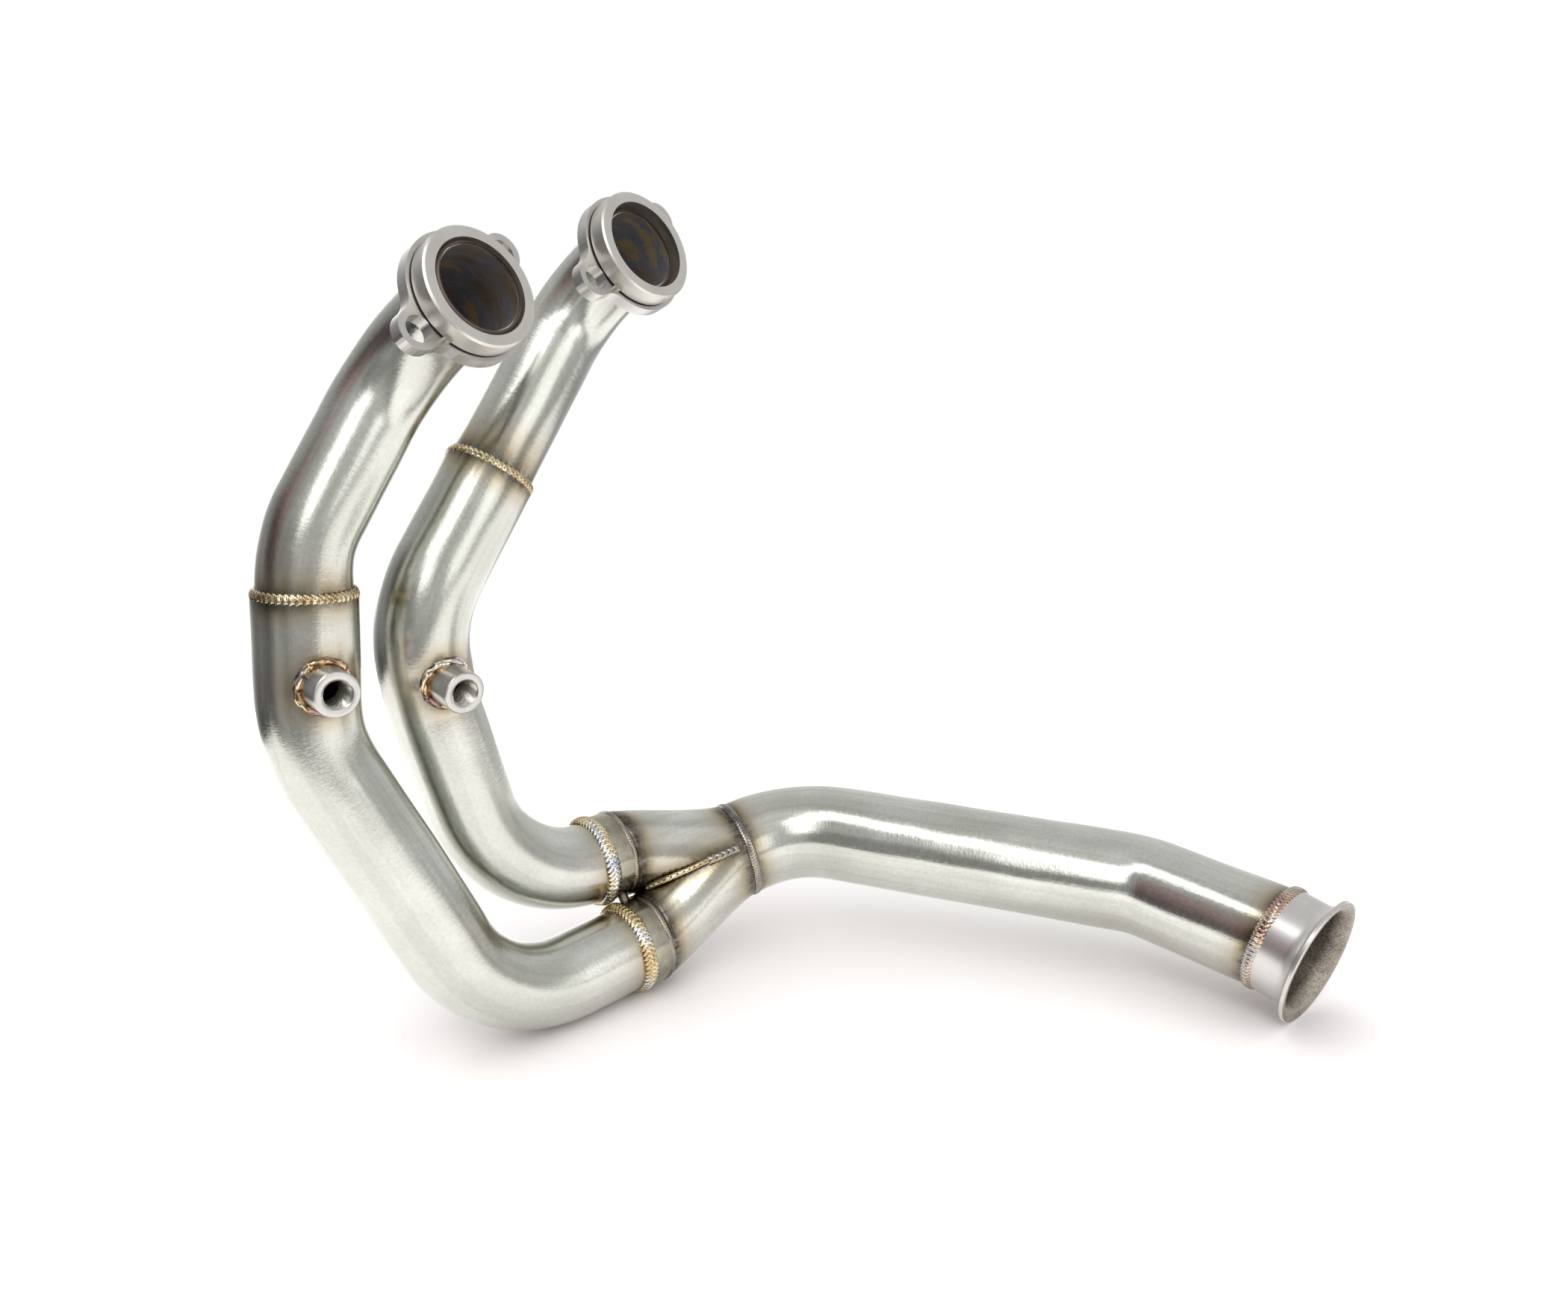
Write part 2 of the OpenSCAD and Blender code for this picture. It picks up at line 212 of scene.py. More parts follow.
# something warm and pink stands to the left of the camera
warm = direction.towards((-0.70, -0.60, 0.38)).rise(0.90, 0.98) * (1 - seen) * 0.8
feed(world.node_tree.nodes["Background"], {
    "Strength": seen * (1 - room) + room,
    "Color": warm.mixed((1, 1, 1, 1), (1, 0.66, 0.68, 1)),
})

# place, aim, turn about the aim in degrees, width, length and watts
for name, at, aim, spin, wide, long, power in (
    ("ceiling_strip", (-0.12, -1.15, 1.95), (-0.12, -1.15, 0.0), 36, 0.5, 2.4, 10.5),
    ("camera_window", (0.33, -1.55, 1.25), (0, 0, 0.15), 0, 0.7, 1.3, 5.6),
    ("left_panel", (-1.40, 1.09, 0.46), (0, 0, 0.15), 0, 0.75, 0.95, 2.8),
    ("right_panel", (1.36, -0.50, 0.56), (0, 0, 0.15), 0, 0.8, 0.9, 2.8),
):
    lamp = bpy.data.lights.new(name, "AREA")
    lamp.shape = "RECTANGLE"
    lamp.size = wide
    lamp.size_y = long
    lamp.energy = power
    holder = bpy.data.objects.new(name, lamp)
    faced = (Vector(aim) - Vector(at)).to_track_quat("-Z", "Y").to_matrix().to_4x4()
    spun = Matrix.Rotation(math.radians(spin), 4, "Z")
    holder.matrix_world = Matrix.Translation(at) @ faced @ spun
    holder.visible_camera = False
    scene.collection.objects.link(holder)

# ---- Bend tables ----
# The pipes follow the same tables as the tube bender: straight, roll, bend
# and bend radius in millimetres and degrees, away from the collector.
INLET_GAP = 46.5
CONE_LEN = 60.5
LEG_TOE = 1.5
LEG_DROP = 16.5


def shift(x, y, z):
    return Matrix.Translation((x, y, z))


def roll(angle):
    return Matrix.Rotation(math.radians(angle), 4, "Z")


def tilt(angle):
    return Matrix.Rotation(math.radians(angle), 4, "Y")


def lean(angle):
    return Matrix.Rotation(math.radians(angle), 4, "X")


def row_frames(start, table):
    """the frame at the start of each row"""
    rows = [start.copy()]
    for straight, turn, bend, radius in table:
        here = rows[-1] @ shift(0, 0, straight) @ roll(turn)
        rows.append(here @ shift(radius, 0, 0) @ tilt(bend) @ shift(-radius, 0, 0))
    return rows


# the collector's frame stands at its outlet with Z along the link pipe, and each
# leg's frame at its inlet with Z along the header
collector = shift(-79.6, 66.4, 54.65) @ roll(43.8) @ tilt(79.6) @ roll(-29.4)
left_leg = collector @ shift(INLET_GAP / 2, 0, -CONE_LEN) @ tilt(-LEG_TOE) @ lean(180 - LEG_DROP)
right_leg = collector @ shift(-INLET_GAP / 2, 0, -CONE_LEN) @ tilt(LEG_TOE) @ lean(180 - LEG_DROP)
left_table = [
    (45.5, 156.5, 71.5, 60), (92, -20, 29, 80), (48.5, 15.5, 28.5, 60), (40, -91, 64, 60),
    (19, 0, 0, 0)]
right_table = [
    (14, 153, 79, 60), (47.5, -74, 12.5, 60), (11, 83.5, 46, 60), (117, -106, 68, 50),
    (10, 0, 0, 0)]
link_table = [(7, -43, 46.5, 65), (144, -13.5, 24.5, 50), (59.5, 0, 0, 0)]
left_rows = row_frames(left_leg, left_table)
right_rows = row_frames(right_leg, right_table)
link_rows = row_frames(collector, link_table)
# spacing of the rings, and how far into a bend its flattening grows
STEP_MM = 3.0
STEP_DEG = 2.5
EASE_DEG = 15.0


def stations(start, table, first, last, begin, end):
    """centreline frames every few millimetres, each with its distance along the
    pipe, how much the bend flattens it there and the direction of that bend"""
    rows = row_frames(start, table)
    out = []
    run = 0.0
    untwist = 0.0
    for i in range(first, last + 1):
        straight, turn, bend, radius = table[i]
        low = begin if i == first else 0.0
        high = end if i == last else straight
        steps = max(1, round((high - low) / STEP_MM))
        for k in range(steps + (i == last)):
            z = low + (high - low) * k / steps
            out.append((rows[i] @ shift(0, 0, z) @ roll(-untwist), run + z - low, 0.0, 0.0))
        run += high - low
        if i == last:
            break
        untwist += turn
        here = rows[i] @ shift(0, 0, straight) @ roll(turn)
        steps = max(3, round(bend / STEP_DEG))
        for k in range(steps):
            angle = bend * k / steps
            turned = here @ shift(radius, 0, 0) @ tilt(angle) @ shift(-radius, 0, 0)
            flat = min(1.0, min(angle, bend - angle) / EASE_DEG)
            out.append((
                turned @ roll(-untwist), run + radius * math.radians(angle), flat,
                math.radians(untwist)))
        run += radius * math.radians(bend)
    return out


# ---- Header pipes and link pipe ----
# Drawn stainless tube, mandrel bent. The upper half of each header slips into
# the wider lower half. Satin outside, sooty inside.
AROUND = 96
WALL = 1.5
UPPER_R = 19.0
LOWER_R = 21.0
LINK_R = 25.0
SLEEVE_LEN = 11.0
IN_SLEEVE = 1.0
# joints of the upper and lower pipes along their straights, and the overlap there
LEFT_JOINT = 42.0
RIGHT_JOINT = 48.0
SLIP = 15.0
# how far each upper pipe ends under the face of its collar
LEFT_RECESS = 1.5
RIGHT_RECESS = 5.5
FERRULE_TURN = 46.5
FERRULE_TILT = 8.4
# the hole under a boss, and how far out the grid gives way for it
BOSS_R = 9.5
HOLE_R = 5.9
HOLE_REACH = 6.6
# how wavy and how flat the tube is, except near its ends, where it stays round
WAVE = 0.28
FLATTENING = 0.5
ROUND_END = 12
MITRE_LEN = 50

left_boss = left_rows[2] @ shift(0, 0, 8) @ roll(286.5) @ tilt(90)
right_boss = right_rows[2] @ shift(0, 0, 10) @ roll(345.5) @ tilt(90)
ferrule = (
    link_rows[2] @ shift(0, 0, link_table[2][0])
    @ roll(FERRULE_TURN) @ tilt(FERRULE_TILT) @ roll(-FERRULE_TURN))


def finish_piece(name, mesh, materials, slot, *nodes):
    for material in materials:
        mesh.materials.append(material)
    mesh.transform(Matrix.Diagonal((0.001, 0.001, 0.001, 1)))
    piece = bpy.data.objects.new(name, mesh)
    scene.collection.objects.link(piece)
    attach(piece, "root")
    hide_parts(*nodes)
    return piece


def add_attribute(mesh, name, kind, values):
    mesh.attributes.new(name, kind, "POINT").data.foreach_set(
        "vector" if kind == "FLOAT_VECTOR" else "value", np.asarray(values, np.float32).ravel())


def tube_walls(path, radius, mitre):
    """points of the outer and then the inner wall, and the same points before
    bending. A little flat in the bends and wavy, as a bent tube is."""
    turn = np.linspace(0, 2 * math.pi, AROUND, endpoint=False)
    total = path[-1][1]
    axis = np.array(path[-1][0])[:3, 2]
    places = []
    lay = []
    for r in (radius, radius - WALL):
        for place, run, flat, bend_way in path:
            m = np.array(place)
            free = min(1.0, run / ROUND_END, (total - run) / ROUND_END)
            wave = np.array([
                noise.noise(Vector((math.cos(a) * 1.3, math.sin(a) * 1.3, run / 26 + radius)))
                for a in turn])
            squash = free * flat * FLATTENING * np.cos(turn - bend_way) ** 2
            out = r + free * wave * WAVE - squash
            ring = np.stack([out * np.cos(turn), out * np.sin(turn), np.zeros(AROUND)], 1)
            spots = ring @ m[:3, :3].T + m[:3, 3]
            if mitre:
                normal = np.array(mitre)[:3, 2]
                reach = -(ring @ m[:3, :3].T @ normal) / (axis @ normal)
                share = np.clip((run - total + MITRE_LEN) / MITRE_LEN, 0, 1)
                spots += np.outer(reach * share, axis)
            places.append(spots)
            lay.append(ring + (0, 0, run))
    return np.concatenate(places), np.concatenate(lay)


def drill(places, local, near, radius, boss):
    """moves the grid points round the hole under a boss onto its circle, and
    returns which quads of the grid stay"""
    half = len(places) // 2
    rows = half // AROUND
    inside = near[:half].reshape(rows, AROUND) < HOLE_REACH
    corner = inside[:-1] & inside[1:]
    keep = ~(corner & np.roll(corner, -1, 1))
    used = np.zeros((rows, AROUND), int)
    for di in (0, 1):
        for dj in (0, 1):
            used[di:rows - 1 + di] += np.roll(~keep, dj, 1)
    rim = np.flatnonzero(((used > 0) & (used < 4)).ravel())
    m = np.array(boss)
    for base, r in ((0, radius), (half, radius - WALL)):
        q = local[rim + base]
        k = HOLE_R / np.hypot(q[:, 0], q[:, 1])
        y = q[:, 1] * k
        z = q[:, 2] + np.sqrt(r * r - y * y) - np.sqrt(r * r - q[:, 1] ** 2)
        q = np.stack([q[:, 0] * k, y, z], 1)
        places[rim + base] = q @ m[:3, :3].T + m[:3, 3]
    return keep


def wall_faces(keep):
    """quads of both walls, and a strip between them along every open edge"""
    rows = len(keep) + 1
    half = rows * AROUND
    faces = []
    wall_of = []
    edges = {}
    for i in range(rows - 1):
        for j in range(AROUND):
            if not keep[i, j]:
                continue
            a, b = i * AROUND + j, i * AROUND + (j + 1) % AROUND
            quad = (a, b, b + AROUND, a + AROUND)
            faces.append(quad)
            faces.append(tuple(n + half for n in reversed(quad)))
            wall_of += [0, 1]
            for k in range(4):
                one, two = quad[k], quad[(k + 1) % 4]
                if (two, one) in edges:
                    del edges[(two, one)]
                else:
                    edges[(one, two)] = True
    for one, two in edges:
        faces.append((two, one, one + half, two + half))
        wall_of.append(0)
    return faces, wall_of


def pipe_mesh(name, path, radius, heat_runs, smoky, boss, mitre):
    """one bent tube with its end faces, and the hole under its sensor boss"""
    places, lay = tube_walls(path, radius, mitre)
    keep = np.ones((len(path) - 1, AROUND), bool)
    heat = np.min([np.abs(lay[:, 2] - at) for at in heat_runs], 0) / smoky
    if boss:
        inverse = np.array(boss.inverted())
        local = places @ inverse[:3, :3].T + inverse[:3, 3]
        near = np.hypot(local[:, 0], local[:, 1])
        near[local[:, 2] < 0] = 99
        heat = np.minimum(heat, np.maximum(near - BOSS_R, 0))
        keep = drill(places, local, near, radius, boss)
    faces, wall_of = wall_faces(keep)
    mesh = bpy.data.meshes.new(name)
    mesh.from_pydata(places.tolist(), [], faces)
    mesh.polygons.foreach_set("material_index", wall_of)
    mesh.polygons.foreach_set("use_smooth", [True] * len(faces))
    mesh.set_sharp_from_angle(angle=math.radians(50))
    add_attribute(mesh, "lay", "FLOAT_VECTOR", lay)
    add_attribute(mesh, "heat_mm", "FLOAT", heat)
    return mesh


def satin_steel(name, rough, stained=0.0, mark=None):
    """tube pulled through a die: faint mottle, fine scratches, long darker bands painted into the
    colour as reflections of the room, and smoky heat bands beside the welds. stained widens the
    bands, mark is the place of one more burnt spot"""
    material, v, shader = new_material(name)
    lay = v.node("ShaderNodeAttribute", {"attribute_name": "lay"}, {}, "Vector")
    heat = v.node("ShaderNodeAttribute", {"attribute_name": "heat_mm"}, {}, "Fac")
    around = lay.scaled((0.05, 0.05, 1.1)).grain(1.0, 5.0, 0.65)
    along = lay.scaled((1.5, 1.5, 0.03)).grain(1.0, 4.0, 0.6)
    cloud = lay.grain(0.04, 3.0)
    mottle = lay.grain(0.55, 4.0, 0.75)
    patch = lay.grain(0.022, 2.0)
    die_marks_and_painted_reflection = lay.scaled((0.16, 0.16, 0.004)).grain(1.0, 3.0, 0.7)
    near = heat + (cloud - 0.5) * 7.0 - stained
    if mark:
        place = v.node("ShaderNodeTexCoord", {}, {}, "Object")
        gap = v.node(
            "ShaderNodeVectorMath", {"operation": "DISTANCE"}, {0: place, 1: mark}, "Value")
        near = near.math("MINIMUM", near, gap * 1000.0 * 1.3 - 2.6)
    tint = (near / 14.0).ramp([
        (0.0, (0.07, 0.050, 0.034, 1)), (0.1, (0.16, 0.125, 0.078, 1)),
        (0.22, (0.30, 0.25, 0.165, 1)), (0.42, (0.46, 0.415, 0.32, 1)),
        (0.7, (0.52, 0.50, 0.435, 1)), (1.0, (0.55, 0.545, 0.495, 1))])
    clean = patch.rise(0.35, 0.65).mixed((0.525, 0.53, 0.48, 1), (0.61, 0.615, 0.57, 1))
    colour = near.rise(8.0, 20.0).mixed(tint, clean)
    # the mottle is the steel's own tone; the long dark bands along the tube are painted reflections
    # of the room
    mottle_and_painted_reflection_streaks = mottle.rise(0.60, 0.40) * 0.2 + die_marks_and_painted_reflection.rise(0.56, 0.40) * 0.26
    colour = mottle_and_painted_reflection_streaks.mixed(colour, (0.36, 0.36, 0.33, 1))
    scratch = around.rise(0.66, 0.72) * 0.35 + along.rise(0.68, 0.75) * 0.4
    smoke = near.rise(5.0, -1.0)
    lines = mottle * 0.09 + along * 0.04 + around * 0.04 + rough + die_marks_and_painted_reflection * 0.05
    relief = mottle + around * 0.4 + along * 0.3 + die_marks_and_painted_reflection * 0.8 - scratch * 0.3
    feed(shader, {
        "Metallic": 1.0,
        "Base Color": (scratch * 0.3).mixed(colour, (0.42, 0.41, 0.38, 1)),
        "Roughness": lines + scratch * 0.08 + smoke * 0.1,
        "Normal": v.node(
            "ShaderNodeBump", {}, {"Strength": 0.3, "Distance": 0.0002, "Height": relief}),
    })
    return material



def sooty_steel(name):
    """bore with soot and straw and blue oxide"""
    material, v, shader = new_material(name)
    lay = v.node("ShaderNodeAttribute", {"attribute_name": "lay"}, {}, "Vector")
    cloud = lay.scaled((0.6, 0.6, 1.6)).grain(0.09, 4.0, 0.6)
    lines = lay.scaled((0.05, 0.05, 1.2)).grain(1.0, 4.0)
    nicks = lay.scaled((1.0, 1.0, 0.08)).grain(1.2, 3.0, 0.6)
    colour = cloud.ramp([
        (0.3, (0.36, 0.28, 0.22, 1)), (0.44, (0.46, 0.38, 0.30, 1)), (0.53, (0.38, 0.42, 0.52, 1)),
        (0.62, (0.72, 0.57, 0.32, 1))])
    feed(shader, {
        "Metallic": 0.8,
        "Base Color": (nicks.rise(0.68, 0.74) * 0.5).mixed(colour, (0.4, 0.38, 0.34, 1)),
        "Roughness": lines * 0.2 + 0.26,
        "Normal": v.node(
            "ShaderNodeBump", {}, {"Strength": 0.2, "Distance": 0.0003, "Height": lines}),
    })
    return material

outer_steel = satin_steel("satin_stainless", 0.07)
link_steel = satin_steel("satin_stainless_link", 0.02)
spotted_steel = satin_steel(
    "satin_stainless_with_spot", 0.08, mark=(-0.1738, -0.0592, 0.1781))
inner_steel = sooty_steel("sooty_bore")

left_lower = stations(left_leg, left_table, 0, 2, IN_SLEEVE, LEFT_JOINT)
right_lower = stations(right_leg, right_table, 0, 3, IN_SLEEVE, RIGHT_JOINT)
left_upper = stations(
    left_leg, left_table, 2, 4, LEFT_JOINT - SLIP, left_table[4][0] - LEFT_RECESS)
right_upper = stations(
    right_leg, right_table, 3, 4, RIGHT_JOINT - SLIP, right_table[4][0] - RIGHT_RECESS)
link = stations(collector, link_table, 0, 2, 0.0, link_table[2][0])
sleeve_bead_at = SLEEVE_LEN + 2
upper_bead_at = SLIP + 2
# centreline, radius, the welds along it, how smoky they left it, boss, mitre and steel
for name, path, radius, heat_runs, smoky, boss, mitre, steel in (
    ("left_lower", left_lower, LOWER_R, (sleeve_bead_at, left_lower[-1][1]), 1.0,
     left_boss, None, outer_steel),
    ("right_lower", right_lower, LOWER_R, (sleeve_bead_at, right_lower[-1][1]), 1.0,
     right_boss, None, spotted_steel),
    ("left_upper", left_upper, UPPER_R, (upper_bead_at,), 1.2, None, None, outer_steel),
    ("right_upper", right_upper, UPPER_R, (upper_bead_at,), 1.9, None, None, outer_steel),
    ("link", link, LINK_R, (2.5, link[-1][1] - 3.0), 1.0, None, ferrule, link_steel),
):
    mesh = pipe_mesh(name + "_tube", path, radius, heat_runs, smoky, boss, mitre)
    finish_piece(name + "_tube", mesh, [steel, inner_steel], "pipe", name + "_pipe")

# ---- Collector ----
# Two pressed half shells that each start round, meet along the middle and
# end on the round outlet together. Sheet as thick as the pipes.
SLEEVE_R = 22.2
RINGS = 21


def leg_surface(leg):
    """ruled from the inlet circle to the outlet circle, in the collector's frame"""
    to_collector = np.array(collector.inverted() @ leg)
    turn = np.linspace(0, 2 * math.pi, AROUND, endpoint=False)
    inlet = np.stack([SLEEVE_R * np.cos(turn), -SLEEVE_R * np.sin(turn), np.zeros(AROUND)], 1)
    inlet = inlet @ to_collector[:3, :3].T + to_collector[:3, 3]
    outlet = np.stack([LINK_R * np.cos(turn), LINK_R * np.sin(turn), np.zeros(AROUND)], 1)
    # a Hermite curve along each line, bent a little into both pipes
    chord = outlet - inlet
    tangent_in = -to_collector[:3, 2] * CONE_LEN * 0.35 + chord * 0.65
    tangent_out = np.array((0, 0, 1.0)) * CONE_LEN * 0.35 + chord * 0.65
    rows = []
    for k in range(RINGS):
        t = k / (RINGS - 1)
        rows.append(
            (2 * t**3 - 3 * t**2 + 1) * inlet + (t**3 - 2 * t**2 + t) * tangent_in
            + (3 * t**2 - 2 * t**3) * outlet + (t**3 - t**2) * tangent_out)
    return np.concatenate(rows)


def leg_mesh(name, side, leg):
    """one leg, cut at the middle plane"""
    m = np.array(collector)
    made = bmesh.new()
    corners = [made.verts.new(p @ m[:3, :3].T + m[:3, 3]) for p in leg_surface(leg)]
    for k in range(RINGS - 1):
        for j in range(AROUND):
            a, b = k * AROUND + j, k * AROUND + (j + 1) % AROUND
            made.faces.new([corners[n] for n in (a, b, b + AROUND, a + AROUND)])
    bmesh.ops.bisect_plane(
        made, geom=made.verts[:] + made.edges[:] + made.faces[:], plane_co=collector.translation,
        plane_no=collector.to_3x3() @ Vector((-side, 0, 0)), clear_outer=True)
    bmesh.ops.recalc_face_normals(made, faces=made.faces)
    centre = collector @ Vector((side * 12, 0, -CONE_LEN / 2))
    outward = sum(((f.calc_center_median() - centre).dot(f.normal) for f in made.faces), 0.0)
    if outward < 0:
        bmesh.ops.reverse_faces(made, faces=made.faces)
    for face in made.faces:
        face.smooth = True
    mesh = bpy.data.meshes.new(name)
    made.to_mesh(mesh)
    made.free()
    inverse = np.array(collector.inverted())
    local = np.array([v.co for v in mesh.vertices]) @ inverse[:3, :3].T + inverse[:3, 3]
    inlet_plane = np.array((collector.inverted() @ leg).inverted())
    from_inlet = np.abs(local @ inlet_plane[:3, :3].T + inlet_plane[:3, 3])[:, 2]
    heat = np.minimum(np.minimum(np.abs(local[:, 2]), from_inlet), np.abs(local[:, 0]) * 0.9 + 2)
    add_attribute(mesh, "lay", "FLOAT_VECTOR", local)
    add_attribute(mesh, "heat_mm", "FLOAT", heat)
    return mesh


cone_steel = satin_steel("heat_tinted_cone", 0.05, stained=3.0)
for name, side, leg in (("left_collector", 1, left_leg), ("right_collector", -1, right_leg)):
    mesh = leg_mesh(name + "_shell", side, leg)
    piece = finish_piece(
        name + "_shell", mesh, [cone_steel, inner_steel], "pipe", name + "_leg")
    sheet = piece.modifiers.new("sheet", "SOLIDIFY")
    sheet.thickness = WALL / 1000
    sheet.offset = -1
    sheet.material_offset = 1
    sheet.material_offset_rim = 1

# ---- Weld beads ----
# Hand-run TIG beads: overlapping puddles, each frozen as a crescent, in gold,
# brown and purple heat colours. One node tree lays them along any seam.


def bead_tree(material):
    tree = bpy.data.node_groups.new("puddle_bead", "GeometryNodeTree")
    face = tree.interface
    face.new_socket("Geometry", in_out="INPUT", socket_type="NodeSocketGeometry")
    for name, kind, value in (
        ("Bead Radius", "NodeSocketFloat", 0.0018), ("Puddle Pitch", "NodeSocketFloat", 0.002),
        ("Puddle Height", "NodeSocketFloat", 0.0003), ("Unevenness", "NodeSocketFloat", 0.0003),
        ("Flatness", "NodeSocketFloat", 0.0), ("Across", "NodeSocketVector", (0, 0, 1)),
        ("Seed", "NodeSocketFloat", 0.0),
    ):
        face.new_socket(name, in_out="INPUT", socket_type=kind).default_value = value
    face.new_socket("Geometry", in_out="OUTPUT", socket_type="NodeSocketGeometry")
    v = Value(tree)
    given = tree.nodes.new("NodeGroupInput")

    def entry(name):
        return Value(tree, given.outputs[name])

    def vector(operation, *values):
        return v.node("ShaderNodeVectorMath", {"operation": operation}, dict(enumerate(values)))

    def store(geometry, kind, name, value):
        return v.node(
            "GeometryNodeStoreNamedAttribute", {"data_type": kind, "domain": "POINT"},
            {"Geometry": geometry, "Name": name, "Value": value})

    radius = entry("Bead Radius")
    uneven = entry("Unevenness")
    seed = entry("Seed")
    position = v.node("GeometryNodeInputPosition", {}, {})

    # the torch wanders a little off the seam
    wander = v.node(
        "ShaderNodeTexNoise", {"noise_dimensions": "4D"},
        {"Vector": position, "W": seed, "Scale": 90.0, "Detail": 1.0}, "Color")
    moved = vector("SUBTRACT", wander, (0.5, 0.5, 0.5)).times(uneven * 2.0)
    curve = v.node(
        "GeometryNodeSetPosition", {}, {"Geometry": entry("Geometry"), "Offset": moved})
    curve = v.node(
        "GeometryNodeResampleCurve", {"mode": "LENGTH"}, {"Curve": curve, "Length": 0.00022})
    curve = store(curve, "FLOAT", "run", v.node("GeometryNodeSplineParameter", {}, {}, "Length"))
    curve = store(curve, "FLOAT_VECTOR", "core", position)
    profile = v.node(
        "GeometryNodeCurvePrimitiveCircle", {"mode": "RADIUS"},
        {"Resolution": 20, "Radius": radius})
    tube = v.node(
        "GeometryNodeCurveToMesh", {},
        {"Curve": curve, "Profile Curve": profile, "Fill Caps": True})

    # each puddle rises at its front, falls back slowly and bows at both sides
    core = v.node(
        "GeometryNodeInputNamedAttribute", {"data_type": "FLOAT_VECTOR"}, {"Name": "core"})
    along = v.node("GeometryNodeInputNamedAttribute", {"data_type": "FLOAT"}, {"Name": "run"})
    out = vector("NORMALIZE", vector("SUBTRACT", position, core))
    side = out.towards(entry("Across"))
    jitter = v.node(
        "ShaderNodeTexNoise", {"noise_dimensions": "4D"},
        {"Vector": position, "W": seed + 7.0, "Scale": 130.0, "Detail": 2.0})
    phase = along / entry("Puddle Pitch") + side * side * 1.2 + jitter * 0.9
    saw = phase.math("FRACT", phase)
    hump = (1.0 - saw) * saw.rise(0.0, 0.18)
    lift = hump * entry("Puddle Height") + (jitter - 0.5) * uneven * 2.0
    # and the whole bead is pressed flat across the seam
    upward = vector("SUBTRACT", out, entry("Across").times(side))
    sink = upward.times(radius * entry("Flatness") * -1.0)
    tube = v.node(
        "GeometryNodeSetPosition", {},
        {"Geometry": tube, "Offset": vector("ADD", out.times(lift), sink)})
    tube = store(tube, "FLOAT", "puddle", hump)
    tube = v.node("GeometryNodeSetShadeSmooth", {}, {"Geometry": tube})
    tube = v.node("GeometryNodeRealizeInstances", {}, {"Geometry": tube})
    tube = v.node("GeometryNodeSetMaterial", {}, {"Geometry": tube, "Material": material})
    leaving = tree.nodes.new("NodeGroupOutput")
    tree.links.new(tube.socket, leaving.inputs[0])
    return tree


def bead_metal(name, stops):
    """heat colours in long patches, with painted shade darkening the valleys between the puddles"""
    material, v, shader = new_material(name)
    puddle = v.node("ShaderNodeAttribute", {"attribute_name": "puddle"}, {}, "Fac")
    place = v.node("ShaderNodeTexCoord", {}, {}, "Object")
    cloud = place.grain(900.0, 3.0, 0.6)
    patches = place.grain(60.0, 2.0) + (puddle - 0.5) * 0.10
    # painted shade: the colour goes nearly black in the valleys between the puddles
    painted_valley_shade = puddle.rise(0.5, 0.05) * 0.85
    feed(shader, {
        "Metallic": 1.0,
        "Base Color": painted_valley_shade.mixed(patches.ramp(stops), (0.08, 0.055, 0.035, 1)),
        "Roughness": cloud * 0.12 + 0.08,
    })
    return material


def lay_bead(name, node, points, cyclic, across, seed, tree, run):
    """one bead along the points; run holds its sizes in millimetres and how far
    it is pressed flat, 0 to 1"""
    curve = bpy.data.curves.new(name + "_seam", "CURVE")
    curve.dimensions = "3D"
    spline = curve.splines.new("POLY")
    spline.points.add(len(points) - 1)
    for point, place in zip(spline.points, points):
        point.co = (place[0] / 1000, place[1] / 1000, place[2] / 1000, 1)
    spline.use_cyclic_u = cyclic
    seam = bpy.data.objects.new(name + "_seam", curve)
    scene.collection.objects.link(seam)
    modifier = seam.modifiers.new("bead", "NODES")
    modifier.node_group = tree
    inputs = {
        "Bead Radius": run["radius"] / 1000, "Puddle Pitch": run["pitch"] / 1000,
        "Puddle Height": run["height"] / 1000, "Unevenness": run["uneven"] / 1000,
        "Flatness": run["flat"], "Across": tuple(across), "Seed": seed}
    for item in tree.interface.items_tree:
        if item.in_out == "INPUT" and item.name in inputs:
            modifier[item.identifier] = inputs[item.name]
    bpy.context.view_layer.update()
    graph = bpy.context.evaluated_depsgraph_get()
    mesh = bpy.data.meshes.new_from_object(seam.evaluated_get(graph), depsgraph=graph)
    bpy.data.objects.remove(seam)
    mesh.name = name
    piece = bpy.data.objects.new(name, mesh)
    scene.collection.objects.link(piece)
    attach(piece, "root")
    if node:
        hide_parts(node)


def circle(m, radius, z, count=180):
    return [m @ Vector((radius * math.cos(a), radius * math.sin(a), z))
            for a in (2 * math.pi * k / count for k in range(count))]


gold_bead = bead_tree(bead_metal("gold_bead", [
    (0.34, (0.42, 0.36, 0.24, 1)), (0.44, (0.62, 0.51, 0.29, 1)),
    (0.56, (0.70, 0.62, 0.42, 1)), (0.66, (0.50, 0.36, 0.20, 1))]))
silver_bead = bead_tree(bead_metal("silver_and_gold_bead", [
    (0.36, (0.50, 0.53, 0.60, 1)), (0.44, (0.78, 0.76, 0.71, 1)),
    (0.52, (0.80, 0.68, 0.42, 1)), (0.66, (0.60, 0.44, 0.22, 1))]))
copper_bead = bead_tree(bead_metal("copper_bead", [
    (0.36, (0.26, 0.20, 0.30, 1)), (0.45, (0.56, 0.36, 0.26, 1)),
    (0.53, (0.66, 0.54, 0.42, 1)), (0.64, (0.48, 0.46, 0.44, 1))]))
boss_bead = bead_tree(bead_metal("boss_bead", [
    (0.34, (0.30, 0.19, 0.18, 1)), (0.43, (0.60, 0.44, 0.22, 1)),
    (0.52, (0.78, 0.72, 0.60, 1)), (0.66, (0.46, 0.42, 0.54, 1))]))
